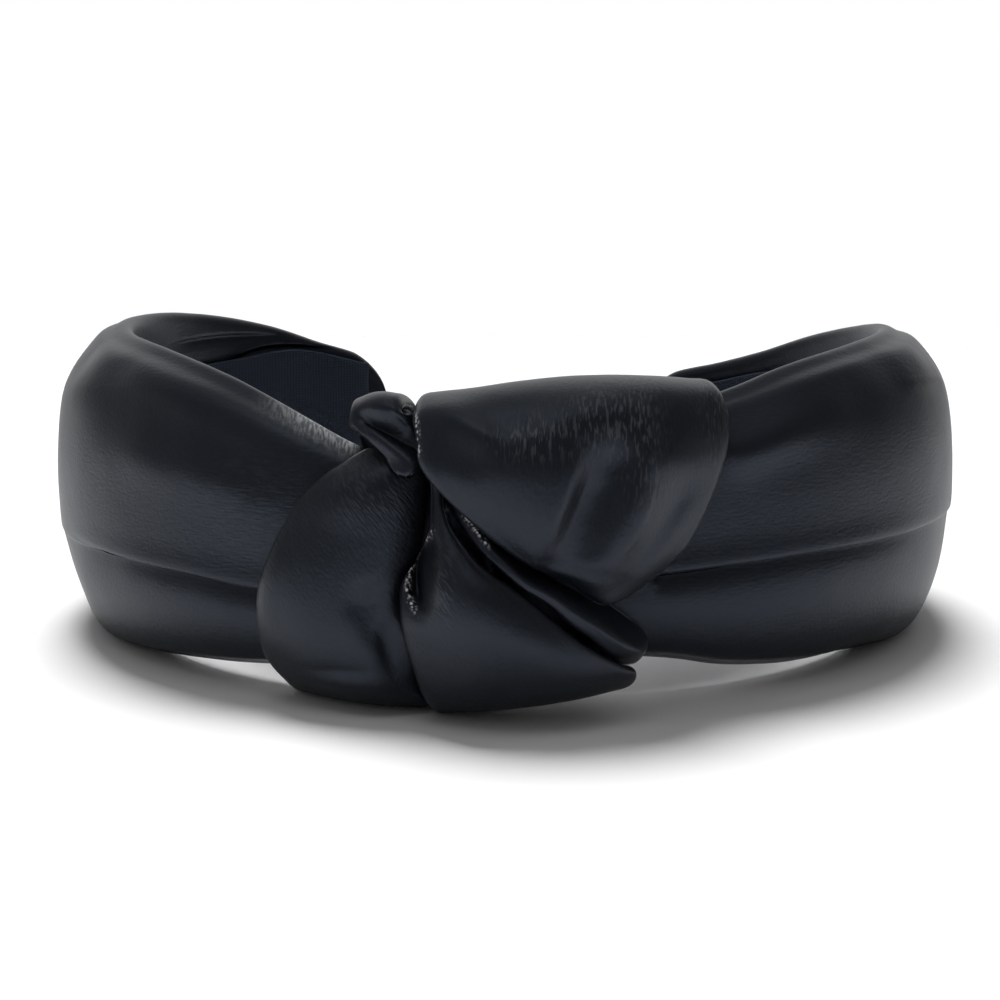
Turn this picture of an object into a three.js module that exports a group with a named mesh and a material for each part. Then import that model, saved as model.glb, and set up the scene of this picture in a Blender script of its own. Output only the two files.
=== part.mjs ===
// Top knot headband of soft leather, standing on its lower edge with the knot to the front.
// Millimetres, +Z up, +X from the left arm to the right arm, +Y from the knot to the open back.
import * as THREE from 'three';

// Driving dimensions of the band
const HEAD_HALF_WIDTH = 61.5; // middle of the head opening to the inner face beside the ear
const HEAD_FRONT = 57; // widest line of the opening to the inner face behind the knot
const HEAD_REAR = 55; // widest line to the back of the oval that the tips lie on
const ARM_START = 0.5; // where each sleeve ends inside the knot, degrees round from its middle
const LEFT_TIP = 159; // where the left sleeve ends at its tip, degrees round from the knot
const RIGHT_TIP = 155.5;
const EDGE = 3.6; // depth of a sleeve along its top and bottom edge
const RIM = EDGE / 4; // height of the rounded rim beyond that edge
const FULLNESS_ABOVE = 2.4; // power of the oval that the padding swells to: 2 is round, more is squarer
const FULLNESS_BELOW = 2.0;
const TUCK_OPEN = 0.6; // half the height left between the two lobes where the long tuck runs out
const TUCK_CLOSED = 2; // depth of the tuck at which the upper lobe hangs over the lower one
const LIP_DROP = 0.8; // how far the upper lobe comes down there
const NOTCH_RISE = 1; // how far the lower lobe goes up behind it
const TIP_CORNER = 8; // radius of a tip's corners
const TIP_NOSE = 3; // length over which a tip thins out
const TIP_THIN = 0.5; // share of its depth that is left at the very end

// Driving dimensions of the leather and the lining
const LEATHER = 2.2; // a turn of the knot: two layers of leather with a little padding
const EDGE_ROLL = LEATHER / 2; // radius of a turn's folded edge
const LINING = 1.2;
const LINING_ROLL = LINING / 4; // height of the lining's rounded edge
const ROLL_FULLNESS = 4; // power of the crown of a rolled turn: 2 is round, more is flatter on top
const GAP = 0.4; // between pieces that lie on each other

// How finely the surfaces are stepped
const ARM_STEPS = 31;
const CORNER_STEPS = 5;
const LOWER_STEPS = 5;
const UPPER_STEPS = 8;
const LINING_STEPS = 44;
const LINING_ACROSS = 2;

// The sleeves, a row for each station round an arm. bottom and top are the heights of the edges, puff is the
// depth of the padding, fold the height of the long tuck and tuck how far the lobe below it lies back.
const ARM_COLUMNS = ['angle', 'bottom', 'top', 'puff', 'fold', 'tuck'];
const LEFT_ARM = [
  [0, 4.6, 35.0, 7.0, 14.6, 1.6],
  [12, 3.6, 35.6, 7.4, 15.0, 1.8],
  [20, 3.6, 37.6, 8.2, 15.4, 2.0],
  [28, 3.6, 41.4, 9.6, 16.2, 2.2],
  [40, 2.4, 46.0, 11.4, 17.6, 2.1],
  [54, 0.8, 48.6, 12.5, 17.8, 1.4],
  [72, -1.4, 49.2, 12.9, 17.0, 0.4],
  [98, -1.4, 48.8, 12.3, 17.0, 0.0],
  [119, 1.6, 46.8, 10.8, 17.6, 0.0],
  [136, 4.6, 43.0, 8.6, 18.4, 0.0],
  [150, 7.8, 37.8, 6.4, 18.8, 0.0],
  [159, 10.0, 35.0, 5.0, 19.0, 0.0],
];
const RIGHT_ARM = [
  [0, 5.2, 43.0, 7.0, 19.0, 1.6],
  [12, 6.4, 43.0, 7.6, 19.2, 1.8],
  [22, 5.6, 43.4, 8.8, 19.8, 2.0],
  [30, 3.6, 44.8, 10.0, 20.6, 2.2],
  [42, 2.0, 47.8, 11.6, 21.2, 2.0],
  [56, 1.0, 49.2, 12.6, 21.2, 1.6],
  [72, -1.4, 49.4, 12.9, 20.4, 0.8],
  [98, -1.4, 47.4, 12.3, 19.0, 0.0],
  [119, 1.4, 43.0, 10.6, 18.6, 0.0],
  [136, 4.0, 37.2, 8.4, 18.4, 0.0],
  [150, 7.0, 33.2, 6.2, 18.2, 0.0],
  [159, 9.0, 31.0, 5.0, 18.2, 0.0],
];

// Soft folds of the sleeves, each a line from one angle and height to another. A rise above 0 is a ridge,
// below 0 a valley, and reach is how far it spreads to each side.
const LEFT_ARM_FOLDS = [
  { from: [60, 44], to: [36, 36], rise: -0.9, reach: 3.2 },
  { from: [48, 36], to: [30, 29], rise: 0.7, reach: 4.0 },
  { from: [104, 45.5], to: [72, 46], rise: -1.4, reach: 3.4 },
  { from: [104, 8], to: [76, 8], rise: -0.7, reach: 4.0 },
];
const RIGHT_ARM_FOLDS = [
  { from: [27, 36], to: [42, 42], rise: 0.8, reach: 3.2 },
  { from: [30, 42], to: [60, 47], rise: -0.8, reach: 2.6 },
  { from: [104, 44], to: [74, 46.5], rise: -0.9, reach: 3.2 },
];

// The lining, a row for each station round the head from the left tip to the right tip.
const LINING_COLUMNS = ['angle', 'bottom', 'top'];
const LINING_EDGES = [
  [-154, 14.0, 34.0],
  [-142, 11.6, 37.2],
  [-126, 10.6, 36.8],
  [-90, 10.0, 37.0],
  [-40, 11.4, 36.0],
  [0, 12.0, 34.0],
  [40, 11.6, 36.0],
  [90, 10.2, 37.4],
  [126, 10.8, 35.0],
  [142, 12.4, 31.2],
  [151, 14.0, 29.4],
];

// The turns of the knot, a row for each section across the strap, along its length from where it comes into
// sight at the top. z is its height, tilt how much higher its right edge is and arch how much higher its
// middle is. left and right are its edges, and the last three columns the distances of its outer face from
// the head opening's oval at the left edge, in the middle and at the right edge.
const STRAP_COLUMNS = ['along', 'z', 'tilt', 'arch', 'left', 'right', 'outLeft', 'outMiddle', 'outRight'];
const LEFT_TURN = [
  [0, 38.9, 0.8, 0, -20.6, -12.2, 7.0, 7.2, 6.4],
  [4, 36.8, 1.0, 0, -24.8, -11.2, 8.8, 10.8, 8.6],
  [9, 32.6, 0.6, 0, -29.6, -10.4, 11.2, 13.6, 9.0],
  [16, 26.0, 0.0, 0, -33.6, -11.2, 12.6, 15.4, 10.2],
  [24, 18.0, 0.0, 0, -36.8, -13.8, 12.8, 16.6, 12.0],
  [30, 12.0, 0.0, 0, -37.2, -14.0, 11.6, 16.4, 13.0],
  [36, 6.0, -0.4, 0, -36.2, -12.8, 9.6, 14.4, 12.4],
  [40.5, 2.4, -1.0, 0, -33.6, -12.0, 7.8, 11.0, 10.6],
  [45, 0.2, -0.4, 0, -32.0, -11.6, 4.0, 6.0, 5.8],
  [49.5, 0.4, 0.0, 0, -30.8, -11.4, 0.0, 1.0, 1.0],
  [53, 3.4, 0.0, 0, -29.8, -11.4, -2.6, -2.6, -2.6],
  [59, 9.4, 0.0, 0, -29.0, -11.6, -2.8, -2.8, -2.8],
];
const TOP_LOBE = [
  [0, 36.0, 0.0, 0.0, -20.4, -12.0, -2.8, -2.8, -2.8],
  [6, 41.8, 0.4, 0.4, -22.0, -12.8, -2.4, -2.4, -2.4],
  [10.5, 44.4, 1.0, 0.8, -22.8, -13.2, 0.6, 0.6, 0.6],
  [15, 45.3, 1.6, 1.0, -23.0, -14.2, 5.2, 6.0, 7.4],
  [19, 43.9, 1.0, 1.2, -23.2, -14.4, 7.8, 9.4, 10.4],
  [23, 41.4, -0.4, 0.6, -22.4, -11.8, 9.2, 10.8, 9.6],
  [28, 38.4, 0.0, 0.0, -18.6, -10.8, 11.2, 12.7, 12.2],
  [31.5, 35.8, 0.0, 0.0, -16.4, -12.2, 12.9, 13.7, 13.3],
];
const UPPER_TURN = [
  [0, 36.0, 0.0, 0, -9.6, 27.4, -2.8, -2.8, -2.8],
  [8, 43.8, 0.8, 1.0, -11.0, 29.2, -2.6, -2.6, -2.8],
  [12.5, 45.6, 1.6, 2.0, -12.2, 30.2, -0.2, 0.0, -0.6],
  [17, 46.2, 1.4, 2.6, -13.0, 31.0, 4.4, 5.0, 3.6],
  [22, 45.6, 1.2, 2.6, -13.4, 31.8, 8.8, 11.0, 7.6],
  [27, 44.2, 0.6, 1.6, -13.5, 32.6, 12.2, 15.6, 9.4],
  [32, 41.4, 0.4, 0.4, -13.0, 33.2, 14.4, 18.2, 10.8],
  [36, 38.2, 0.4, 0, -12.7, 32.8, 15.6, 19.6, 11.8],
  [40, 35.2, 0.4, 0, -10.8, 32.0, 16.2, 20.0, 12.2],
  [45, 31.0, 0.2, 0, -6.6, 30.4, 16.8, 20.0, 12.4],
  [50, 26.6, 0.0, 0, -1.5, 28.2, 17.2, 19.4, 12.6],
  [55, 22.4, 0.0, 0, 4.6, 25.0, 17.0, 18.2, 12.6],
  [59, 19.2, 0.0, 0, 10.0, 20.4, 15.6, 16.2, 12.6],
  [61, 17.4, 0.0, 0, 12.8, 17.4, 14.6, 14.6, 12.6],
];
const PLEAT = [
  [0, 35.0, 0.0, 0, -9.8, -6.4, 9.0, 9.6, 9.2],
  [4, 31.6, 0.0, 0, -9.6, -4.2, 9.2, 12.4, 10.2],
  [8, 28.4, 0.0, 0, -7.8, -1.8, 9.6, 15.2, 10.8],
  [13, 25.0, 0.0, 0, -4.6, 2.3, 10.0, 18.0, 11.2],
  [18, 22.2, 0.0, 0, -0.8, 6.4, 10.4, 19.0, 11.4],
  [22, 20.0, 0.0, 0, 2.2, 10.0, 10.4, 19.4, 11.4],
  [27, 17.0, 0.0, 0, 5.8, 14.4, 10.2, 19.4, 11.0],
  [33, 13.0, 0.0, 0, 10.2, 19.4, 9.8, 18.4, 10.4],
  [37, 10.5, 0.0, 0, 12.6, 21.6, 9.4, 16.4, 9.8],
  [40, 8.8, 0.0, 0, 13.2, 21.4, 9.0, 13.2, 9.0],
  [43, 7.4, 0.0, 0, 13.4, 20.0, 8.6, 10.4, 8.2],
];
const LOWER_TURN = [
  [0, 36.0, 0.0, 0, -11.6, -7.6, 11.4, 12.0, 11.8],
  [4, 32.6, 0.0, 0, -11.6, -7.6, 12.2, 13.4, 13.2],
  [9, 28.2, 0.0, 0, -11.8, -6.3, 14.2, 16.4, 16.0],
  [13, 24.4, 0.0, 0, -13.2, -2.6, 14.4, 19.0, 18.2],
  [17, 21.0, 0.0, 0, -14.8, 2.5, 14.8, 21.2, 19.4],
  [21.5, 16.8, 0.0, 0, -15.8, 7.4, 15.6, 22.2, 19.6],
  [26, 12.6, 0.0, 0, -15.2, 12.2, 16.0, 21.8, 19.0],
  [30, 8.8, 0.0, 0, -14.0, 17.4, 15.8, 20.6, 16.8],
  [34, 6.2, 1.4, 0, -13.0, 19.2, 15.0, 19.0, 15.0],
  [38, 4.0, 2.2, 0, -12.0, 19.2, 13.4, 16.8, 12.8],
  [42, 2.5, 3.8, 0, -11.0, 18.0, 9.8, 13.4, 11.2],
  [46, 1.9, 4.6, 0, -10.4, 16.0, 5.6, 8.0, 7.2],
  [50, 1.6, 4.4, 0, -10.2, 14.4, 1.4, 2.8, 2.4],
  [54.5, 4.0, 1.6, 0, -9.8, 13.0, -2.6, -2.6, -2.6],
  [60, 9.4, 0.0, 0, -9.4, 12.4, -2.8, -2.8, -2.8],
];

// Folds in the turns of the knot, each a line on the front from one place (x, z) to another.
const LEFT_TURN_FOLDS = [
  { from: [-19.7, 17.4], to: [-14.3, 4.1], rise: -1.6, reach: 1.6 },
];
const TOP_LOBE_FOLDS = [
  { from: [-20.0, 43.0], to: [-12.5, 40.0], rise: -1.1, reach: 1.5 },
];
const UPPER_TURN_FOLDS = [
  { from: [15.0, 37.5], to: [9.5, 23.0], rise: -2.0, reach: 4.2 },
  { from: [21.0, 39.0], to: [10.8, 20.4], rise: 0.9, reach: 2.8 },
  { from: [25.0, 33.0], to: [16.0, 20.6], rise: -0.8, reach: 2.0 },
];
const LOWER_TURN_FOLDS = [
  { from: [-11.4, 26.0], to: [-12.2, 19.0], rise: -2.4, reach: 1.5 },
];

// The turns as pieces, each with how finely it is stepped along and across. A filled one is rolled up, so that
// its inner face is flat.
const TURNS = [
  { name: 'knot_left_turn', rows: LEFT_TURN, folds: LEFT_TURN_FOLDS, lengthSteps: 22, widthSteps: 10 },
  { name: 'knot_top_lobe', rows: TOP_LOBE, folds: TOP_LOBE_FOLDS, lengthSteps: 16, widthSteps: 8 },
  { name: 'knot_upper_turn', rows: UPPER_TURN, folds: UPPER_TURN_FOLDS, lengthSteps: 24, widthSteps: 22 },
  { name: 'knot_pleat', rows: PLEAT, folds: [], filled: true, lengthSteps: 14, widthSteps: 8 },
  { name: 'knot_lower_turn', rows: LOWER_TURN, folds: LOWER_TURN_FOLDS, lengthSteps: 26, widthSteps: 14 },
];

// Joins the rows of a table by smooth curves: the result gives every column at a value of the first one.
function smoothTable(columns, rows) {
  const names = columns.slice(1);
  const keys = rows.map((row) => row[0]);
  const values = rows.flatMap((row) => row.slice(1));
  const curve = new THREE.CubicInterpolant(keys, values, names.length);
  return (value) => {
    const found = Array.from(curve.evaluate(value));
    return Object.fromEntries(names.map((name, i) => [name, found[i]]));
  };
}

// Nothing reaches below the surface that the headband lies on: the leather is pressed flat there.
function pressed(x, y, z) {
  return new THREE.Vector3(x, y, Math.max(z, 0));
}

// A point of an arm: an angle round from the knot, a distance out from the inner face and a height.
function onArm(angle, out, z) {
  const turn = THREE.MathUtils.degToRad(angle);
  const depth = Math.cos(turn) > 0 ? HEAD_FRONT : HEAD_REAR;
  const outward = new THREE.Vector2(Math.sin(turn) / HEAD_HALF_WIDTH, -Math.cos(turn) / depth).normalize();
  const x = HEAD_HALF_WIDTH * Math.sin(turn) + outward.x * out;
  const y = -depth * Math.cos(turn) + outward.y * out;
  return pressed(x, y, z);
}

// A point of the knot: a place along X, a distance out from the inner face and a height.
function onKnot(x, out, z) {
  const share = x / (HEAD_HALF_WIDTH + out);
  return pressed(x, -(HEAD_FRONT + out) * Math.sqrt(1 - share * share), z);
}

// How far the folds of a list lift a point of the flat pattern. up is a height, and across is a place along
// X on the knot or an angle on a sleeve, where a degree is about a millimetre.
function foldLift(folds, across, up) {
  const point = new THREE.Vector3(across, up, 0);
  const nearest = new THREE.Vector3();
  return folds.reduce((lift, { line, rise, reach }) => {
    line.closestPointToPoint(point, true, nearest);
    const away = point.distanceTo(nearest) / reach;
    return lift + rise * Math.exp(-away * away);
  }, 0);
}

// A list of folds with each one's line on the flat pattern.
function foldLines(folds) {
  return folds.map(({ from, to, rise, reach }) => ({
    line: new THREE.Line3(new THREE.Vector3(...from, 0), new THREE.Vector3(...to, 0)), rise, reach }));
}

// Closes two grids of points, the outer and the inner face of a sheet, into one solid. Each row becomes a
// ring: along the outer face, round the far edge, back along the inner face and round the near edge. The two
// end rings are filled between each corner of the outer face and the one behind it.
function closedSheet(outer, inner, edges) {
  const last = outer[0].length - 1;
  const rings = outer.map((row, i) => [...row, edges[i].far, ...[...inner[i]].reverse(), edges[i].near]);
  const size = rings[0].length;
  const index = [];
  for (let i = 0; i + 1 < rings.length; i += 1) {
    for (let k = 0; k < size; k += 1) {
      const next = (k + 1) % size;
      const here = i * size;
      const beyond = here + size;
      index.push(here + k, beyond + k, beyond + next, here + k, beyond + next, here + next);
    }
  }
  const behind = (k) => 2 * last + 2 - k;
  const endFill = (start) => {
    const across = Array.from({ length: last }, (_, k) => k);
    const triangles = [
      [size - 1, 0, behind(0)],
      ...across.flatMap((k) => [[k, k + 1, behind(k + 1)], [k, behind(k + 1), behind(k)]]),
      [last + 1, behind(last), last],
    ];
    return triangles.map((triangle) => triangle.map((k) => start + k));
  };
  index.push(...endFill(0).flat());
  index.push(...endFill((rings.length - 1) * size).flatMap(([a, b, c]) => [a, c, b]));
  const geometry = new THREE.BufferGeometry().setFromPoints(rings.flat());
  geometry.setIndex(index);
  geometry.computeVertexNormals();
  return geometry;
}

// The outward directions of a grid of points.
function gridNormals(grid) {
  return grid.map((row, i) => row.map((point, j) => {
    const along = new THREE.Vector3().subVectors(
      grid[Math.min(i + 1, grid.length - 1)][j], grid[Math.max(i - 1, 0)][j]);
    const across = new THREE.Vector3().subVectors(
      row[Math.min(j + 1, row.length - 1)], row[Math.max(j - 1, 0)]);
    return along.cross(across).normalize();
  }));
}

// A turn of the knot: a strap with rounded edges, through the sections of its table. It is of even thickness,
// or filled under its crown.
function strap({ rows, folds, filled = false, lengthSteps, widthSteps }) {
  const sectionAt = smoothTable(STRAP_COLUMNS, rows);
  const length = rows[rows.length - 1][0];
  const lines = foldLines(folds);
  const sections = Array.from({ length: lengthSteps + 1 }, (_, i) => sectionAt(length * i / lengthSteps));
  const face = (crownShare) => sections.map((row) => (
    Array.from({ length: widthSteps + 1 }, (_, j) => {
      const share = j / widthSteps;
      const bow = 1 - Math.abs(2 * share - 1) ** (filled ? ROLL_FULLNESS : 2);
      const x = THREE.MathUtils.lerp(row.left + EDGE_ROLL, row.right - EDGE_ROLL, share);
      const z = row.z + row.tilt * (share - 0.5) + row.arch * bow;
      const crown = row.outMiddle - (row.outLeft + row.outRight) / 2;
      const out = THREE.MathUtils.lerp(row.outLeft, row.outRight, share) + crown * crownShare * bow;
      const lift = out > EDGE ? foldLift(lines, x, z) : 0;
      return onKnot(x, out + lift, z);
    })));
  const grid = face(1);
  const backed = filled ? face(0) : grid;
  const normals = gridNormals(backed);
  const inner = backed.map((row, i) => row.map((point, j) => (
    point.clone().addScaledVector(normals[i][j], -LEATHER))));
  const roundEdge = (i, j, beside) => {
    const middle = grid[i][j].clone().add(inner[i][j]).multiplyScalar(0.5);
    const sideways = new THREE.Vector3().subVectors(grid[i][j], grid[i][beside]).normalize();
    return middle.addScaledVector(sideways, EDGE_ROLL);
  };
  const edges = grid.map((_, i) => ({
    near: roundEdge(i, 0, 1), far: roundEdge(i, widthSteps, widthSteps - 1) }));
  return closedSheet(grid, inner, edges);
}

// The stations round an arm: even steps, then closer ones round the corners of the tip.
function armStations(tip) {
  const cornerAngle = THREE.MathUtils.radToDeg(TIP_CORNER / HEAD_HALF_WIDTH);
  const bend = tip - cornerAngle;
  const even = Array.from({ length: ARM_STEPS }, (_, i) => ARM_START + (bend - ARM_START) * i / ARM_STEPS);
  const corner = Array.from({ length: CORNER_STEPS + 1 }, (_, i) => (
    bend + cornerAngle * Math.sin(Math.PI / 2 * i / CORNER_STEPS)));
  return [...even, ...corner];
}

// The outer face of a sleeve at one station, from the bottom edge to the top edge, as [out, z] pairs.
function sleeveProfile(row, thin) {
  const middle = (row.top + row.bottom) / 2;
  const half = (row.top - row.bottom) / 2;
  const swell = (z) => {
    const share = Math.min(Math.abs(z - middle) / half, 1);
    const power = z > middle ? FULLNESS_ABOVE : FULLNESS_BELOW;
    return (EDGE + (row.puff - EDGE) * (1 - share ** power) ** (1 / power)) * thin;
  };
  const closed = Math.min(row.tuck / TUCK_CLOSED, 1);
  const lip = row.fold + TUCK_OPEN - LIP_DROP * closed;
  const notch = row.fold - TUCK_OPEN + NOTCH_RISE * closed;
  const lower = Array.from({ length: LOWER_STEPS + 1 }, (_, j) => {
    const share = j / LOWER_STEPS;
    const z = THREE.MathUtils.lerp(notch, row.bottom, Math.cos(Math.PI / 2 * share));
    return [swell(z) - row.tuck * share * share, z];
  });
  const upper = Array.from({ length: UPPER_STEPS + 1 }, (_, j) => {
    const share = j / UPPER_STEPS;
    const z = THREE.MathUtils.lerp(lip, row.top, Math.sin(Math.PI / 2 * share));
    return [swell(z), z];
  });
  return [...lower, ...upper];
}

// A padded sleeve. side is -1 for the left arm and 1 for the right one, tip the angle where it ends.
function sleeve(rows, folds, side, tip) {
  const rowAt = smoothTable(ARM_COLUMNS, rows);
  const lines = foldLines(folds);
  const stations = armStations(tip);
  const ordered = side < 0 ? [...stations].reverse() : stations;
  const outer = [];
  const inner = [];
  const edges = [];
  for (const angle of ordered) {
    const row = rowAt(angle);
    const toTip = THREE.MathUtils.degToRad(tip - angle) * HEAD_HALF_WIDTH;
    const short = Math.max(TIP_CORNER - toTip, 0);
    const rounding = TIP_CORNER - Math.sqrt(TIP_CORNER * TIP_CORNER - short * short);
    row.top -= rounding + RIM;
    row.bottom += rounding + RIM;
    const thin = THREE.MathUtils.lerp(TIP_THIN, 1, Math.min(toTip / TIP_NOSE, 1));
    const profile = sleeveProfile(row, thin);
    outer.push(profile.map(([out, z]) => {
      const lift = out > EDGE ? foldLift(lines, angle, z) : 0;
      return onArm(side * angle, out + lift, z);
    }));
    const innerZ = (j) => THREE.MathUtils.lerp(row.bottom, row.top, j / (profile.length - 1));
    inner.push(profile.map((_, j) => onArm(side * angle, 0, innerZ(j))));
    edges.push({
      near: onArm(side * angle, EDGE * thin / 2, row.bottom - RIM),
      far: onArm(side * angle, EDGE * thin / 2, row.top + RIM),
    });
  }
  return closedSheet(outer, inner, edges);
}

// The lining: a thin strip on the inner face, from tip to tip.
function liningStrip() {
  const rowAt = smoothTable(LINING_COLUMNS, LINING_EDGES);
  const [firstAngle] = LINING_EDGES[0];
  const [lastAngle] = LINING_EDGES[LINING_EDGES.length - 1];
  const outer = [];
  const inner = [];
  const edges = [];
  for (let i = 0; i <= LINING_STEPS; i += 1) {
    const angle = THREE.MathUtils.lerp(firstAngle, lastAngle, i / LINING_STEPS);
    const row = rowAt(angle);
    const heights = Array.from({ length: LINING_ACROSS + 1 }, (_, j) => (
      THREE.MathUtils.lerp(row.bottom, row.top, j / LINING_ACROSS)));
    outer.push(heights.map((z) => onArm(angle, -GAP, z)));
    inner.push(heights.map((z) => onArm(angle, -GAP - LINING, z)));
    edges.push({
      near: onArm(angle, -GAP - LINING / 2, row.bottom - LINING_ROLL),
      far: onArm(angle, -GAP - LINING / 2, row.top + LINING_ROLL),
    });
  }
  return closedSheet(outer, inner, edges);
}

// The finishes
const leather = { color: 0x1b1d21, roughness: 0.42, metalness: 0 };
const liningCloth = { color: 0x14171c, roughness: 0.9, metalness: 0 };

function piece(name, geometry, finish) {
  const mesh = new THREE.Mesh(geometry, new THREE.MeshStandardMaterial(finish));
  mesh.name = name;
  return mesh;
}

const headband = new THREE.Group();
headband.add(
  piece('left_sleeve', sleeve(LEFT_ARM, LEFT_ARM_FOLDS, -1, LEFT_TIP), leather),
  piece('right_sleeve', sleeve(RIGHT_ARM, RIGHT_ARM_FOLDS, 1, RIGHT_TIP), leather),
  piece('lining', liningStrip(), liningCloth),
  ...TURNS.map((turn) => piece(turn.name, strap(turn), leather)),
);

// The part's origin is on the surface that it lies on, below the middle of the whole headband.
const middle = new THREE.Box3().setFromObject(headband).getCenter(new THREE.Vector3());
headband.position.set(-middle.x, -middle.y, 0);

export default headband;
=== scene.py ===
# %% [markdown]
# # A top knot headband in soft black leather
# The headband is two padded sleeves of thin leather that meet at the front, a wide strip of the same leather
# tied round the meeting place into a knot, and a dull cloth lining on the inside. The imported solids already
# have the right size and the main turns of the knot. This lesson dresses them: each solid is copied, rounded
# and worked like clay until it has the soft folds of real leather, and then it gets its grain and sheen.

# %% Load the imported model
import math
from collections import namedtuple

import bmesh
import bpy
import numpy as np
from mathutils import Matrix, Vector


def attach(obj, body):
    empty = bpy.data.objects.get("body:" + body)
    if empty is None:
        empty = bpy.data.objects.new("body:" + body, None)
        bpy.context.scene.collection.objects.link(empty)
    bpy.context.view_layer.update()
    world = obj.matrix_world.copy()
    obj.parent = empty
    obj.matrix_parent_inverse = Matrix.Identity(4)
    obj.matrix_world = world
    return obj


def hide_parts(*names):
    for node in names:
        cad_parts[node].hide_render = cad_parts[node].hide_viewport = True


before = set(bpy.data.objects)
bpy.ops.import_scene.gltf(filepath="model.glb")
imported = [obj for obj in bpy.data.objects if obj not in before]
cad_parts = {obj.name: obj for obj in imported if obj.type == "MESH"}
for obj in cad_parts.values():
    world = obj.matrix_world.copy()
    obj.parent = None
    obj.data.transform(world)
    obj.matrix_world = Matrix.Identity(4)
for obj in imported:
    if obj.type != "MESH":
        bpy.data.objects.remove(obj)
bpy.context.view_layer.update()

MM = 0.001  # the model is in metres, and most sizes below are in millimetres

# %% [markdown]
# ## The camera
# The band stands on a table and is seen from a little above, straight from the front. A long lens a forearm's
# length away gives the mild perspective of a product picture. The small shift moves the frame and not the
# camera, so that the band sits in its place in the picture.

# %% Place the camera
VIEW_ABOVE = math.radians(10.5)  # how far the camera looks down
VIEW_DISTANCE = 420 * MM
VIEW_HEIGHT = 25 * MM  # the height on the band that it looks at
HEAD_MIDDLE = 12 * MM  # the middle of the head opening lies this far behind the middle of the box
LENS = 89.7  # focal length in millimetres, for a sensor 36 mm wide
FRAME_SHIFT = (-0.005, -0.038)  # to the right and upwards, as shares of the frame's width

aim = Vector((0.0, HEAD_MIDDLE, VIEW_HEIGHT))
towards_camera = Vector((0.0, -math.cos(VIEW_ABOVE), math.sin(VIEW_ABOVE)))
camera = bpy.data.objects.new("camera", bpy.data.cameras.new("camera"))
camera.data.lens = LENS
camera.data.shift_x, camera.data.shift_y = FRAME_SHIFT
camera.location = aim + VIEW_DISTANCE * towards_camera
camera.rotation_euler = (math.pi / 2 - VIEW_ABOVE, 0.0, 0.0)
bpy.context.collection.objects.link(camera)
bpy.context.scene.camera = camera
print("camera at, mm:", [round(value / MM, 1) for value in camera.location])

# %% [markdown]
# ## Arithmetic on shader sockets
# Finishes and the studio's light are made of shader nodes. Writing `1 - mask * 0.3` reads better than adding
# Math nodes one by one, so this small class wraps a socket and turns each operator into a Math node. Its one
# method `node` makes every other kind of node: first the settings, then the values or links of the sockets.

# %% Define the socket class


class Field:
    """A value that varies over a surface: one output of a node, with arithmetic."""

    def __init__(self, tree, socket=None):
        self.tree = tree
        self.socket = socket

    def node(self, kind, settings=None, inputs=None, output=0):
        """Adds a node, sets its settings and then its sockets, and wraps one of its outputs."""
        made = self.tree.nodes.new(kind)
        for name, value in (settings or {}).items():
            setattr(made, name, value)
        for name, value in (inputs or {}).items():
            if isinstance(value, Field):
                self.tree.links.new(value.socket, made.inputs[name])
            else:
                made.inputs[name].default_value = value
        return Field(self.tree, made.outputs[output])

    def maths(self, operation, *values):
        """A Math node on these values."""
        return self.node("ShaderNodeMath", {"operation": operation}, dict(enumerate(values)))

    def __add__(self, other):
        return self.maths("ADD", self, other)

    def __sub__(self, other):
        return self.maths("SUBTRACT", self, other)

    def __rsub__(self, other):
        return self.maths("SUBTRACT", other, self)

    def __mul__(self, other):
        return self.maths("MULTIPLY", self, other)

    __radd__ = __add__
    __rmul__ = __mul__

    def between(self, low, high):
        """0 below low, 1 above high and a smooth rise from one to the other."""
        return self.node("ShaderNodeMapRange", {"interpolation_type": "SMOOTHSTEP"},
                         {"Value": self, "From Min": low, "From Max": high})

    def mix(self, first, second):
        """The first colour where this value is 0 and the second where it is 1."""
        colour_sockets = {"Factor": 0, "A": 6, "B": 7, "Result": 2}
        inputs = {colour_sockets["Factor"]: self, colour_sockets["A"]: first, colour_sockets["B"]: second}
        return self.node("ShaderNodeMix", {"data_type": "RGBA"}, inputs, colour_sockets["Result"])

    def feed(self, node, socket):
        """Links this value into a socket of a node that is already there."""
        self.tree.links.new(self.socket, node.inputs[socket])


OPERATORS = ("__add__", "__sub__", "__rsub__", "__mul__")
print("operators ready:", [name for name in OPERATORS if hasattr(Field, name)])

# %% [markdown]
# ## The room
# Black leather shows little of its own colour: nearly all that is seen is the room reflected in it. So the
# room decides the look. Lamps alone would give hard spots, so the sky of the scene is shaded by its direction
# into a room. The wall behind the band is bright and the ceiling glows, which draws the pale rims. The
# camera's side is dim, and dimmest to the right, which keeps the front faces deep black. Where the camera
# looks past the band and the table, it sees plain white.

# %% Shade the room
BACK_WALL = 1.0  # brightness of the room behind the band
CEILING = 0.4
DIM_LEFT = 0.26  # brightness on the camera's side, to the left
DIM_RIGHT = 0.14
DIM_EDGE = (-0.7, 0.1)  # X of the direction where the left brightness ends and where the right one begins
WALL_EDGE = (0.5, 1.0)  # Y of the direction where the back wall begins and where it is full
CEILING_EDGE = (0.75, 0.97)  # Z of the direction where the ceiling begins and where it is full

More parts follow.
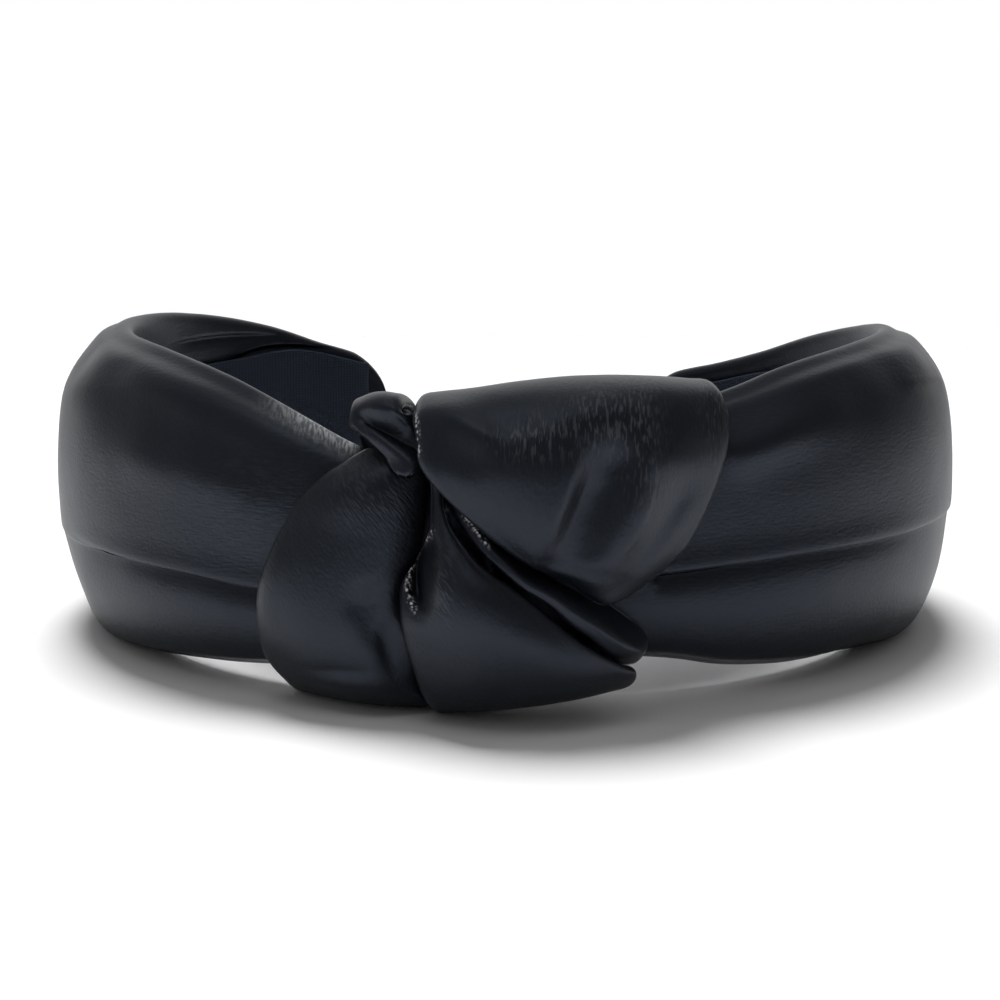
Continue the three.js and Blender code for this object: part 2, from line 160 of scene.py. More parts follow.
world = bpy.data.worlds.new("studio")
world.use_nodes = True
bpy.context.scene.world = world
sky = Field(world.node_tree)
direction = sky.node("ShaderNodeTexCoord", output="Generated")
split = direction.node("ShaderNodeSeparateXYZ", inputs={"Vector": direction}).socket.node
rightwards = Field(world.node_tree, split.outputs["X"])
behind = Field(world.node_tree, split.outputs["Y"])
above = Field(world.node_tree, split.outputs["Z"])
dim_side = DIM_LEFT + (DIM_RIGHT - DIM_LEFT) * rightwards.between(*DIM_EDGE)
wall = dim_side + (BACK_WALL - dim_side) * behind.between(*WALL_EDGE)
room = wall + (CEILING - wall) * above.between(*CEILING_EDGE)
seen_by_camera = sky.node("ShaderNodeLightPath", output="Is Camera Ray")
backdrop = world.node_tree.nodes["Background"]
(room + (1.0 - room) * seen_by_camera).feed(backdrop, "Strength")
backdrop.inputs["Color"].default_value = (1.0, 1.0, 1.0, 1.0)
print("the room's brightness behind, overhead, left and right:", BACK_WALL, CEILING, DIM_LEFT, DIM_RIGHT)

# %% [markdown]
# ## The sun and the lamp
# A soft sun from behind and a little to the left throws the band's shadow towards the camera. Reflections
# don't show it, so the top edges take their sheen from the room alone. A faint lamp hangs high on the
# camera's side. The picture uses the plain Standard view transform, so that the white table stays white.

# %% Hang the sun and the lamp
SUN_STRENGTH = 3.4
SUN_SPREAD = math.radians(26)
SUN_LEAN = math.radians(21)  # how far it stands behind the band
SUN_SIDE = math.radians(5)  # how far it stands to the left
LAMP_POWER = 0.3  # watts
LAMP_SIZE = 0.3  # metres
LAMP_PLACE = Vector((-0.1, -0.25, 0.75))  # metres

sun = bpy.data.objects.new("soft_sun", bpy.data.lights.new("soft_sun", "SUN"))
sun.data.energy = SUN_STRENGTH
sun.data.angle = SUN_SPREAD
sun.rotation_euler = (-SUN_LEAN, -SUN_SIDE, 0.0)
sun.visible_glossy = False
bpy.context.collection.objects.link(sun)
lamp = bpy.data.objects.new("front_lamp", bpy.data.lights.new("front_lamp", "AREA"))
lamp.data.energy = LAMP_POWER
lamp.data.size = LAMP_SIZE
lamp.location = LAMP_PLACE
lamp.rotation_euler = (aim - lamp.location).to_track_quat("-Z", "Y").to_euler()
bpy.context.collection.objects.link(lamp)
bpy.context.scene.view_settings.view_transform = "Standard"
print("sun leans back by, degrees:", round(math.degrees(SUN_LEAN)))

# %% [markdown]
# ## The table
# A plain white table top carries the band and takes its soft shadow. It is only a stage, so it is one flat
# disc, and its finish has a faint mottle that keeps it from looking like a drawing. A small round card hangs
# over the head opening. It keeps the light from behind off the table inside the band, and neither the camera
# nor a reflection sees it.

# %% Lay the table
TABLE_RADIUS = 0.36  # metres
TABLE_WHITE = (0.9, 0.9, 0.9, 1.0)
TABLE_GREY = (0.87, 0.87, 0.875, 1.0)
TABLE_MOTTLE = 40.0  # spots of the mottle to the metre
TABLE_ROUGHNESS = 0.7
TABLE_SHINE = 0.2
CARD_RADIUS = 0.05  # metres
CARD_PLACE = Vector((0.0, 0.018, 0.075))  # metres

table_finish = bpy.data.materials.new("white_table")
table_finish.use_nodes = True
paint = Field(table_finish.node_tree)
table_place = paint.node("ShaderNodeTexCoord", output="Object")
mottle = paint.node("ShaderNodeTexNoise", inputs={
    "Vector": table_place, "Scale": TABLE_MOTTLE, "Detail": 4.0})
table_shader = table_finish.node_tree.nodes["Principled BSDF"]
mottle.mix(TABLE_WHITE, TABLE_GREY).feed(table_shader, "Base Color")
table_shader.inputs["Roughness"].default_value = TABLE_ROUGHNESS
table_shader.inputs["Specular IOR Level"].default_value = TABLE_SHINE


def white_disc(name, segments, radius, place):
    """A flat disc in the table's finish."""
    bm = bmesh.new()
    bmesh.ops.create_circle(bm, cap_ends=True, segments=segments, radius=radius)
    bmesh.ops.translate(bm, verts=bm.verts[:], vec=place)
    disc = bpy.data.objects.new(name, bpy.data.meshes.new(name))
    bm.to_mesh(disc.data)
    bm.free()
    bpy.context.collection.objects.link(disc)
    disc.data.materials.append(table_finish)
    return disc


table = white_disc("table_top", segments=96, radius=TABLE_RADIUS, place=Vector())
card = white_disc("shade_card", segments=48, radius=CARD_RADIUS, place=CARD_PLACE)
card.visible_camera = False
card.visible_glossy = False
print("table and card across, m:", 2 * TABLE_RADIUS, 2 * CARD_RADIUS)

# %% [markdown]
# ## The leather's finish
# The real leather is thin, soft and nearly black with a cool cast. Close up it has a fine pebble of about
# half a millimetre, drawn out into short lines along the strip, and the lines catch the light wherever a
# fold stretches the skin. A picture texture could show that, but it would fix the scale and need unwrapping.
# Here the pebble is a cell pattern and the lines are a stretched noise, both on Object coordinates, so they
# hold their real size on every piece. Two attributes of the mesh say where the skin is marked. Along some
# fold edges the base colour gets a painted highlight, pale dots on a turn or short strokes on a sleeve, that
# stands in for glints, and there the leather is a little smoother too. Where grain is high, a bend stretches
# the skin, and the lines are deeper and painted a little paler, a painted highlight on the lines.

# %% Define the leather
LEATHER_DEEP = (0.0025, 0.003, 0.0045, 1.0)
LEATHER_PALE = (0.005, 0.0058, 0.0078, 1.0)
LEATHER_CAST = (0.69, 0.79, 1.0, 1.0)  # the cool tint of what it reflects
LEATHER_SHINE = 0.5
# The pale colour of the painted highlights along marked fold edges: glints as dots on the turns and strokes
# on the sleeves.
PAINTED_GLINT_COLOUR = (0.75, 0.76, 0.78, 1.0)
PEBBLE = 0.55  # millimetres from one pebble to the next
BEAD = 0.55  # the same for the dots of a turn's painted glints
STROKE = 0.35  # the same for the short strokes of a sleeve's painted highlight
LINE = 0.34  # the same for the grain lines
LINE_STRETCH = 5.0  # how much longer than wide a grain line is
PEBBLE_DEPTH = 0.025  # millimetres
LINE_DEPTH = 0.03  # millimetres
GRAIN_DEPTH = 0.12  # further depth of the lines where a bend stretches the skin
LINE_GLINT_PALENESS = 0.03  # how pale a line is painted there, a painted highlight on the stretched grain
LINE_EDGE = (0.5, 0.64)  # values of the line pattern where a pale line begins and where it is full
BEAD_EDGE = (0.4, 0.75)
STROKE_EDGE = (0.4, 0.65)
STROKE_GROUND = 0.3  # how pale a sleeve's painted highlight is between its strokes
CLOUDS = 60.0  # soft blotches of deep and pale leather to the metre
SMOOTHEST = 0.38  # roughness where the blotches are deepest
CLOUD_ROUGHNESS = 0.08
GLINT_POLISH = 0.12  # how much smoother the leather is under the painted glints


def leather(name, turn, shine):
    """The leather, with its grain lines turned by some degrees, seen from the front: 0 is upright.

    shine is the pattern of the painted highlights along marked edges, either dots or strokes.
    """
    finish = bpy.data.materials.new(name)
    finish.use_nodes = True
    skin = Field(finish.node_tree)
    shader = finish.node_tree.nodes["Principled BSDF"]
    place = skin.node("ShaderNodeTexCoord", output="Object")

    def stretched_lines(lean, pitch):
        """Short lines that lean by some degrees and lie a pitch apart."""
        turned = skin.node("ShaderNodeMapping", inputs={
            "Vector": place, "Rotation": (0.0, math.radians(lean), 0.0)})
        drawn_out = skin.node("ShaderNodeMapping", inputs={
            "Vector": turned, "Scale": (1.0, 1.0 / LINE_STRETCH, 1.0 / LINE_STRETCH)})
        return skin.node("ShaderNodeTexNoise", inputs={
            "Vector": drawn_out, "Scale": 1 / (pitch * MM), "Detail": 1.0, "Roughness": 0.5})

    lines = stretched_lines(turn, LINE)
    pebbles = skin.node("ShaderNodeTexVoronoi", {"feature": "SMOOTH_F1"}, {
        "Vector": place, "Scale": 1 / (PEBBLE * MM), "Smoothness": 0.6})
    clouds = skin.node("ShaderNodeTexNoise", inputs={"Vector": place, "Scale": CLOUDS, "Detail": 3.0})
    rub = skin.node("ShaderNodeAttribute", {"attribute_name": "rub"}, output="Fac")
    grain = skin.node("ShaderNodeAttribute", {"attribute_name": "grain"}, output="Fac")
    if shine == "dots":
        beads = skin.node("ShaderNodeTexVoronoi", inputs={"Vector": place, "Scale": 1 / (BEAD * MM)})
        marks = (1 - beads).between(*BEAD_EDGE)
    else:
        strokes = stretched_lines(0, STROKE).between(*STROKE_EDGE)
        marks = STROKE_GROUND + (1 - STROKE_GROUND) * strokes
    # The grain lines are painted a little paler where the grain is marked, a painted highlight on the
    # stretched skin.
    painted_line_glints = LINE_GLINT_PALENESS * grain * lines.between(*LINE_EDGE)
    # Base colour: the pale dots or strokes along marked fold edges are painted highlights, glints painted
    # into the colour; the blotches are the leather's own tone.
    colour = (marks * rub + painted_line_glints).mix(clouds.mix(LEATHER_DEEP, LEATHER_PALE), PAINTED_GLINT_COLOUR)
    colour.feed(shader, "Base Color")
    (SMOOTHEST + CLOUD_ROUGHNESS * clouds - GLINT_POLISH * rub).feed(shader, "Roughness")
    height = lines * (LINE_DEPTH + GRAIN_DEPTH * grain) - pebbles * PEBBLE_DEPTH
    bump = skin.node("ShaderNodeBump", inputs={"Height": height, "Distance": MM, "Strength": 1.0})
    bump.feed(shader, "Normal")
    shader.inputs["Specular IOR Level"].default_value = LEATHER_SHINE
    shader.inputs["Specular Tint"].default_value = LEATHER_CAST
    return finish


print("leather pebble and line, mm:", PEBBLE, LINE)

# %% Cut the leather three ways
LINES_ALONG_ARM = 90  # degrees from upright
LINES_UPRIGHT = 0
LINES_SLANTED = 40
sleeve_leather = leather("sleeve_leather", LINES_ALONG_ARM, "strokes")
upright_leather = leather("upright_leather", LINES_UPRIGHT, "dots")
slanted_leather = leather("slanted_leather", LINES_SLANTED, "dots")
print("leathers:", sleeve_leather.name, upright_leather.name, slanted_leather.name)

# %% [markdown]
# ## The lining's finish
# The inside is a thin dull cloth with a bluish cast. Two sets of waves, one across and one up and down, give
# the plain weave, and their product gives the bump. It hardly shines, so its roughness is high.

# %% Make the lining cloth
CLOTH_DEEP = (0.024, 0.031, 0.047, 1.0)
CLOTH_PALE = (0.034, 0.042, 0.06, 1.0)
CLOTH_FADE = 90.0  # faded spots to the metre
CLOTH_ROUGHNESS = 0.95
CLOTH_SHINE = 0.15
WEAVE_SHARE = 0.7  # how much of the change of colour is weave and not fading
THREAD = 0.5  # millimetres from one thread to the next
THREAD_DEPTH = 0.03  # millimetres
THREAD_POLISH = 0.15  # how much smoother the top of a thread is
WAVE_LENGTH = math.pi / 10  # metres from wave to wave of a Wave texture whose scale is 1

lining_cloth = bpy.data.materials.new("lining_cloth")
lining_cloth.use_nodes = True
cloth = Field(lining_cloth.node_tree)
cloth_shader = lining_cloth.node_tree.nodes["Principled BSDF"]
cloth_place = cloth.node("ShaderNodeTexCoord", output="Object")


def threads(axis):
    """Waves along one of the axes, a thread's pitch apart."""
    return cloth.node("ShaderNodeTexWave", {"wave_type": "BANDS", "bands_direction": axis}, {
        "Vector": cloth_place, "Scale": WAVE_LENGTH / (THREAD * MM), "Distortion": 0.6, "Detail": 1.0})


weave = threads("X") * threads("Z")
fade = cloth.node("ShaderNodeTexNoise", inputs={"Vector": cloth_place, "Scale": CLOTH_FADE, "Detail": 3.0})
paleness = weave * WEAVE_SHARE + fade * (1 - WEAVE_SHARE)
paleness.mix(CLOTH_DEEP, CLOTH_PALE).feed(cloth_shader, "Base Color")
(CLOTH_ROUGHNESS - THREAD_POLISH * weave).feed(cloth_shader, "Roughness")
cloth_bump = cloth.node("ShaderNodeBump", inputs={"Height": weave * THREAD_DEPTH, "Distance": MM})
cloth_bump.feed(cloth_shader, "Normal")
cloth_shader.inputs["Specular IOR Level"].default_value = CLOTH_SHINE
print("lining cloth:", len(lining_cloth.node_tree.nodes), "nodes")

# %% [markdown]
# ## Rounding a copy of a solid
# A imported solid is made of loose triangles. Its copy is merged, its triangles are joined back into the
# four-sided patches that they came from, and a Subdivision Surface rounds them into a smooth skin that is
# fine enough to carry folds. Rounding draws a shape in, so the patches are pushed out again until the skin
# goes through the solid's corners. A faint Displace takes the skin's machine-made evenness away. The
# modifiers are applied, because the folds are worked into the fine vertices.

# %% Define the soft copy
FINENESS = 3  # how often each patch is divided
TAUT_PASSES = 2  # how often the rounded skin is drawn back onto the solid's corners
MERGE_WITHIN = 0.001 * MM
EDGE_FLOW = 2.0  # how much the neighbours decide which triangles are joined
SLACK_SCALE = 14 * MM
SLACK_DEPTH = 0.2 * MM

slack_pattern = bpy.data.textures.new("slack", "CLOUDS")
slack_pattern.noise_scale = SLACK_SCALE


def vertex_rows(mesh, kind):
    """The places (co) or the normals (normal) of a mesh's vertices, as rows of an array."""
    found = np.empty(len(mesh.vertices) * 3, np.float32)
    mesh.vertices.foreach_get(kind, found)
    return found.reshape(-1, 3)


def rounded_mesh(piece):
    """A new mesh of what the piece's modifiers make of it."""
    return bpy.data.meshes.new_from_object(piece.evaluated_get(bpy.context.evaluated_depsgraph_get()))


def patches_of(node, name):
    """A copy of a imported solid's mesh, merged and joined into four-sided patches."""
    bm = bmesh.new()
    bm.from_mesh(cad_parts[node].data)
    bmesh.ops.remove_doubles(bm, verts=bm.verts[:], dist=MERGE_WITHIN)
    bmesh.ops.join_triangles(bm, faces=bm.faces[:], angle_face_threshold=math.pi,
                             angle_shape_threshold=math.pi, topology_influence=EDGE_FLOW)
    patches = bpy.data.meshes.new(name)
    bm.to_mesh(patches)
    bm.free()
    return patches


def soft_copy(node, name):
    """A rounded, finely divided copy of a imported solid, as a new object."""
    coarse = patches_of(node, name + "_coarse")
    piece = bpy.data.objects.new(name, coarse)
    bpy.context.collection.objects.link(piece)
    rounding = piece.modifiers.new("rounding", "SUBSURF")
    rounding.levels = FINENESS
    rounding.render_levels = FINENESS
    corners = vertex_rows(coarse, "co")
    cage = corners.copy()
    for _ in range(TAUT_PASSES):
        fine = rounded_mesh(piece)
        cage += corners - vertex_rows(fine, "co")[:len(corners)]
        coarse.vertices.foreach_set("co", cage.ravel())
        coarse.update()
        bpy.data.meshes.remove(fine)
    slack = piece.modifiers.new("slack", "DISPLACE")
    slack.texture = slack_pattern
    slack.texture_coords = "LOCAL"
    slack.strength = SLACK_DEPTH
    fine = rounded_mesh(piece)
    piece.modifiers.clear()
    piece.data = fine
    fine.name = name
    bpy.data.meshes.remove(coarse)
    fine.materials.clear()
    fine.shade_smooth()
    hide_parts(node)
    return piece


print("each patch becomes", 4 ** FINENESS, "faces")

# %% [markdown]
# ## Drawing folds
# A fold is drawn as a maker would chalk it on the leather: a line through a few points of a flat pattern, how
# far it rises or sinks to each side and how far it spreads there. Different values left and right of the line
# make a pleat with a crisp edge, equal ones a soft ridge or valley. A pull moves all the leather near a
# place, and a patch of grain marks where the skin is stretched. A cloth simulation finds folds of its own,
# but these have to lie where the real ones do, so they are drawn.

# %% Define folds, pulls and grain
# A fold's sides are the left and the right hand of someone who walks along its line. rise and reach hold a
# value for each side, in millimetres. fade holds the shares of the line over which the fold comes and goes.
# step is half the width of the passage from side to side. The last two values lay a painted highlight,
# pale dots or strokes, along the line: how strong it is, from 0 to 1, and how far it spreads, in millimetres.
Fold = namedtuple("Fold", "line rise reach fade step rub rub_width",
                  defaults=((0.25, 0.25), 0.35, 0.0, 0.3))
# A pull or a patch of grain has a middle and a reach on the pattern. move is along X, Y and Z, in mm.
Pull = namedtuple("Pull", "middle reach move")
Grain = namedtuple("Grain", "middle reach amount")
CURVE_STEPS = 16  # steps of a smooth line between two of its points
SHORTEST_FADE = 1e-6  # a fold without a fade comes and goes over this share


def smooth_line(points):
    """A smooth curve through the points of a fold's line."""
    points = np.asarray(points, float)
    ends = np.vstack([2 * points[0] - points[1], points, 2 * points[-1] - points[-2]])
    share = np.linspace(0, 1, CURVE_STEPS, endpoint=False)[:, None]
    curve = []
    for before, start, end, after in zip(ends, ends[1:], ends[2:], ends[3:]):
        bend = 2 * start + (end - before) * share
        bend += (2 * before - 5 * start + 4 * end - after) * share ** 2
        bend += (3 * start - before - 3 * end + after) * share ** 3
        curve.append(bend / 2)
    return np.vstack(curve + [points[-1:]])


def smooth_step(value, low, high):
    """0 below low, 1 above high and a smooth rise from one to the other."""
    share = np.clip((value - low) / (high - low), 0, 1)
    return share * share * (3 - 2 * share)


def fold_heights(fold, pattern):
    """How far a fold moves each point of the pattern, in millimetres, and how strong its painted highlight is
    there.
    """
    line = smooth_line(fold.line)
    start, along = line[:-1], np.diff(line, axis=0)
    length = np.linalg.norm(along, axis=1)
    run = np.concatenate([[0], np.cumsum(length)])
    best = np.full(len(pattern), np.inf)
    side = np.zeros(len(pattern))
    travel = np.zeros(len(pattern))
    for point, step, size, done in zip(start, along, length, run):
        offset = pattern - point
        share = np.clip(offset @ step / size ** 2, 0, 1)
        gap = offset - share[:, None] * step
        distance = np.hypot(gap[:, 0], gap[:, 1])
        nearer = distance < best
        best[nearer] = distance[nearer]
        turn = step[0] * offset[:, 1] - step[1] * offset[:, 0]
        side[nearer] = np.where(turn > 0, -distance, distance)[nearer]
        travel[nearer] = (done + share * size)[nearer]
    travel /= run[-1]
    left = fold.rise[0] * np.exp(-(np.minimum(side, 0) / fold.reach[0]) ** 2)
    right = fold.rise[1] * np.exp(-(np.maximum(side, 0) / fold.reach[1]) ** 2)
    over = smooth_step(side, -fold.step, fold.step)
    fade = smooth_step(travel, 0, max(fold.fade[0], SHORTEST_FADE))
    fade *= 1 - smooth_step(travel, 1 - max(fold.fade[1], SHORTEST_FADE), 1)
    rub = fold.rub * np.exp(-(best / fold.rub_width) ** 2) * fade
    return (left * (1 - over) + right * over) * fade, rub


def nearness(patch, pattern):
    """1 in the middle of a pull or a patch of grain, falling to 0 round it."""
    away = (pattern - patch.middle) / patch.reach
    return np.exp(-np.sum(away ** 2, axis=1))


print("a fold has:", Fold._fields)

# %% [markdown]
# ## Working a piece
# The drawn folds are now worked into a piece. Its pulls come first. Then every vertex on its outer face is
# moved outwards or inwards by the folds that lie there. The back of the leather stays where it is, and gives
# way only under a valley that would leave the leather too thin. Where the folds lay a painted highlight, and
# where the grain lies, is kept in two attributes of the mesh, which the finish reads.

# %% Define the working of a piece
THINNEST = 1.0  # millimetres of leather that a valley leaves before the back of the turn gives way
TURN_THICKNESS = 2.2  # millimetres
OUTER_FACING = (0.0, 0.35)  # how far a normal points outwards where a fold begins and where it is full
SHOWN_FACING = (-0.6, 0.0)  # the same for the painted highlight and the grain, which run on round an edge


def mark(mesh, name, values):
    """Keeps a value for each vertex in an attribute, the greater one where there is a value already."""
    layer = mesh.attributes.get(name)
    if layer is None:
        layer = mesh.attributes.new(name, "FLOAT", "POINT")
    before = np.empty(len(mesh.vertices), np.float32)
    layer.data.foreach_get("value", before)
    layer.data.foreach_set("value", np.maximum(before, values).astype(np.float32))


def work_folds(piece, folds, pulls, grains, pattern_of, outward_of):
    """Moves the vertices of a piece by its pulls and folds and marks where their painted highlights lie and
    where grain shows.
    """
    mesh = piece.data
    count = len(mesh.vertices)
    place = vertex_rows(mesh, "co") / MM
    normal = vertex_rows(mesh, "normal")
    pattern = pattern_of(place)
    for pull in pulls:
        place += nearness(pull, pattern)[:, None] * np.asarray(pull.move)
    outward = outward_of(place)
    facing = np.sum(normal * outward, axis=1)
    outer = smooth_step(facing, *OUTER_FACING)
    shown = smooth_step(facing, *SHOWN_FACING)
    shift = np.zeros(count)
    rub = np.zeros(count)
    for fold in folds:
        height, shine = fold_heights(fold, pattern)
        shift += height
        rub = np.maximum(rub, shine * shown)
    back_shift = np.minimum(shift + TURN_THICKNESS - THINNEST, 0)
    place += outward * (outer * shift + (1 - outer) * back_shift)[:, None]
    place[:, 2] = np.maximum(place[:, 2], 0)  # nothing sinks into the table
    mesh.vertices.foreach_set("co", (place * MM).astype(np.float32).ravel())
    # Keeps where the folds lay a painted highlight, which the finish paints as pale dots or strokes.
    mark(mesh, "rub", rub)
    grain = sum([patch.amount * nearness(patch, pattern) for patch in grains], np.zeros(count))
    mark(mesh, "grain", grain * shown)
    mesh.update()
    deepest, highest = round(float(shift.min()), 2), round(float(shift.max()), 2)
    print(piece.name, len(folds), "folds, deepest", deepest, "highest", highest)


print("a valley leaves, mm:", THINNEST)

# %% [markdown]
# ## The turns of the knot
# Each turn of the knot is a strip of doubled leather with a little padding. Its pattern is simply the view
# from the front: across is X and up is Z. The way out of the knot is forwards, and it leans upwards near the
# top and downwards near the table, so that a fold runs on over both edges.

# %% Define a turn
TOP_EDGE = (30, 46)  # heights in millimetres where the way out begins to lean upwards and where it leans most
BOTTOM_EDGE = (2, 8)  # heights where it leans downwards most and where that ends
LEAN_BACK = 0.3  # how much less it points forwards there

pieces = []


def front_pattern(place):
    return place[:, [0, 2]]


def front_outward(place):
    """The way out of the knot, as one direction for each place."""
    height = place[:, 2]
    up = smooth_step(height, *TOP_EDGE) - smooth_step(-height, -BOTTOM_EDGE[1], -BOTTOM_EDGE[0])
    outward = np.column_stack([0 * up, -1 + LEAN_BACK * np.abs(up), up])
    return outward / np.linalg.norm(outward, axis=1)[:, None]


def turn_of_knot(node, name, finish, folds, pulls, grains):
    """Rounds one turn of the knot, works its folds and gives it its leather."""
    turn = soft_copy(node, name)
    turn.data.materials.append(finish)
    work_folds(turn, folds, pulls, grains, front_pattern, front_outward)
    pieces.append(turn)


print("the way out leans upwards above, mm:", TOP_EDGE[0])

# %% [markdown]
# ## The left turn
# This turn lies round the left sleeve like a cuff. Its middle is drawn in, its left edge is full, and a
# crease runs down its right side to where it goes under the lower turn. The pull brings its lower corner
# close to that turn.

# %% Fold the left turn
LEFT_TURN_FOLDS = [
    Fold([(-23.0, 36.0), (-24.5, 26.0), (-25.0, 16.0), (-24.0, 4.0)], (-1.4, -1.4), (6.0, 7.0), (0.3, 0.1)),
    Fold([(-31.0, 28.0), (-34.6, 18.0), (-35.0, 12.0), (-34.0, 6.0)], (0.7, 0.7), (2.5, 1.2), (0.4, 0.2)),
    Fold([(-19.7, 18.0), (-19.0, 15.6), (-18.0, 10.1), (-16.1, 5.0), (-12.8, 2.6)], (0.2, 0.2), (1.8, 1.2)),
    Fold([(-19.7, 20.6), (-19.5, 18.4), (-19.2, 15.6), (-18.4, 12.0)], (0.6, 0.6), (2.0, 2.0), (0.35, 0.55)),
]
LEFT_TURN_PULLS = [
    Pull((-12.0, 5.0), (3.5, 9.0), (1.6, 0.8, 0.0)),
]
LEFT_TURN_GRAIN = [
    Grain((-18.0, 33.0), (6.0, 5.0), 0.7),
]
turn_of_knot("knot_left_turn", "left_turn", slanted_leather, LEFT_TURN_FOLDS, LEFT_TURN_PULLS,
             LEFT_TURN_GRAIN)

# %% [markdown]
# ## The top lobe
# The short lobe is rolled over the band's top edge and goes under the upper turn. A narrow groove with a low
# ridge under it shows that it is a roll of leather and not a solid lump. The pull brings its end close to
# the upper turn.

# %% Fold the top lobe
TOP_LOBE_FOLDS = [
    Fold([(-21.4, 43.8), (-19.7, 43.1), (-17.0, 42.0), (-12.0, 38.8)], (-1.0, -1.0), (0.7, 0.7), (0.3, 0.0)),
    Fold([(-20.5, 41.6), (-17.0, 39.8), (-13.0, 37.0)], (0.4, 0.4), (1.0, 1.0), (0.2, 0.0)),
]
TOP_LOBE_PULLS = [
    Pull((-12.0, 42.0), (3.0, 7.0), (0.6, 0.3, 0.0)),
]
turn_of_knot("knot_top_lobe", "top_lobe", upright_leather, TOP_LOBE_FOLDS, TOP_LOBE_PULLS, [])

# %% [markdown]
# ## The upper turn
# The upper turn fans out from the middle of the knot, over the top edge and round the right sleeve. Two
# ridges cross it in a wide V with a hollow under its left arm. A gather stands out to the left of a dark
# wedge, and a further panel steps down at the right. The stretched skin along the top shows its grain, with
# its lines painted a little paler as a painted highlight, and its left edge has a painted glint of pale dots.
# The pull draws the top edge down a little above the V.

# %% Fold the upper turn
UPPER_TURN_FOLDS = [
    # the two arms of the V and the hollow
    Fold([(-13.0, 46.2), (-8.2, 44.8), (-3.3, 42.7), (0.3, 41.6)], (0.6, 0.6), (2.2, 1.8), (0.1, 0.3)),
    Fold([(0.3, 41.6), (2.5, 42.4), (6.6, 44.2), (13.2, 45.6), (18.9, 46.6)],
         (0.3, 0.3), (1.6, 2.4), (0.3, 0.3)),
    Fold([(-10.5, 42.0), (-6.0, 39.5), (-1.0, 38.0)], (-0.5, -0.5), (2.2, 2.6), (0.3, 0.4)),
    # the panel at the right and the ridge that goes on below it
    Fold([(20.4, 47.5), (20.8, 44.5), (21.2, 39.8), (20.8, 35.0)], (-0.5, 0.2), (3.0, 3.0), (0.3, 0.5), 1.2),
    Fold([(21.2, 36.0), (20.2, 31.2), (17.7, 26.3), (14.5, 23.4)], (0.3, 0.5), (3.0, 1.8), (0.4, 0.4)),
    # the wedge and the gather beside it
    Fold([(12.5, 44.0), (10.0, 35.4), (8.2, 30.5), (6.6, 26.8), (5.0, 22.8)],
         (-1.5, 0.0), (5.0, 1.0), (0.45, 0.5), 1.4),
    Fold([(10.8, 40.0), (10.0, 35.4), (8.2, 30.5), (6.6, 26.8), (5.0, 22.8), (4.2, 20.0)],
         (0.0, 0.5), (2.0, 3.4), (0.5, 0.0), 1.4),
    # the left edge, with a painted glint of pale dots
    Fold([(-12.6, 45.0), (-12.2, 41.5), (-11.9, 38.3)], (0.0, 0.0), (1.0, 1.0), rub=0.6),
]
UPPER_TURN_PULLS = [
    Pull((1.0, 44.8), (6.5, 2.2), (0.0, 0.5, -0.8)),
]
UPPER_TURN_GRAIN = [
    Grain((4.0, 41.8), (5.0, 2.6), 1.6),
    Grain((13.5, 44.0), (6.0, 3.0), 1.6),
    Grain((19.0, 40.0), (3.0, 7.0), 1.2),
    Grain((30.0, 44.0), (2.5, 6.0), 0.9),
]
turn_of_knot("knot_upper_turn", "upper_turn", upright_leather, UPPER_TURN_FOLDS, UPPER_TURN_PULLS,
             UPPER_TURN_GRAIN)

# %% [markdown]
# ## The pleat
# The narrow pleat runs slantwise between the upper and the lower turn. It has a low ridge along it, a painted
# glint of pale dots at its upper end and a groove near its lower end. The pulls draw it forwards, and most of
# them towards the lower turn too, so that the gap between the two stays narrow.

# %% Fold the pleat
PLEAT_FOLDS = [
    Fold([(-6.0, 29.5), (-0.8, 25.0), (5.3, 20.0), (11.8, 15.0), (16.5, 11.2)],
         (0.2, 0.2), (1.6, 1.6), (0.3, 0.5)),
    # a painted glint of pale dots at the upper end
    Fold([(-6.6, 31.0), (-5.2, 29.6), (-3.6, 28.0), (-2.0, 26.3)], (0.2, 0.2), (0.5, 0.5), rub=1.0),
    Fold([(12.1, 17.7), (16.8, 15.9), (21.0, 11.7)], (-0.4, -0.4), (0.6, 0.6)),
]
PLEAT_PULLS = [
    Pull((-4.6, 28.4), (2.8, 2.8), (0.4, -0.8, 0.0)),
    Pull((2.5, 21.0), (3.5, 3.5), (-0.3, -0.4, -0.3)),
    Pull((9.0, 15.5), (3.5, 3.5), (-0.3, -0.4, -0.3)),
    Pull((14.5, 11.5), (3.0, 3.0), (-0.2, -0.3, -0.2)),
]
turn_of_knot("knot_pleat", "pleat", slanted_leather, PLEAT_FOLDS, PLEAT_PULLS, [])

# %% [markdown]
# ## The lower turn
# The lower turn fans out downwards from the middle of the knot and goes under the band. Its left edge is
# folded in to a small hollow. The hollow has a rim with a painted glint of pale dots on its left and a low
# bank on its right, and a second row of painted glint dots lies beside the pleat. The pull draws the turn's
# upper end towards the pleat.

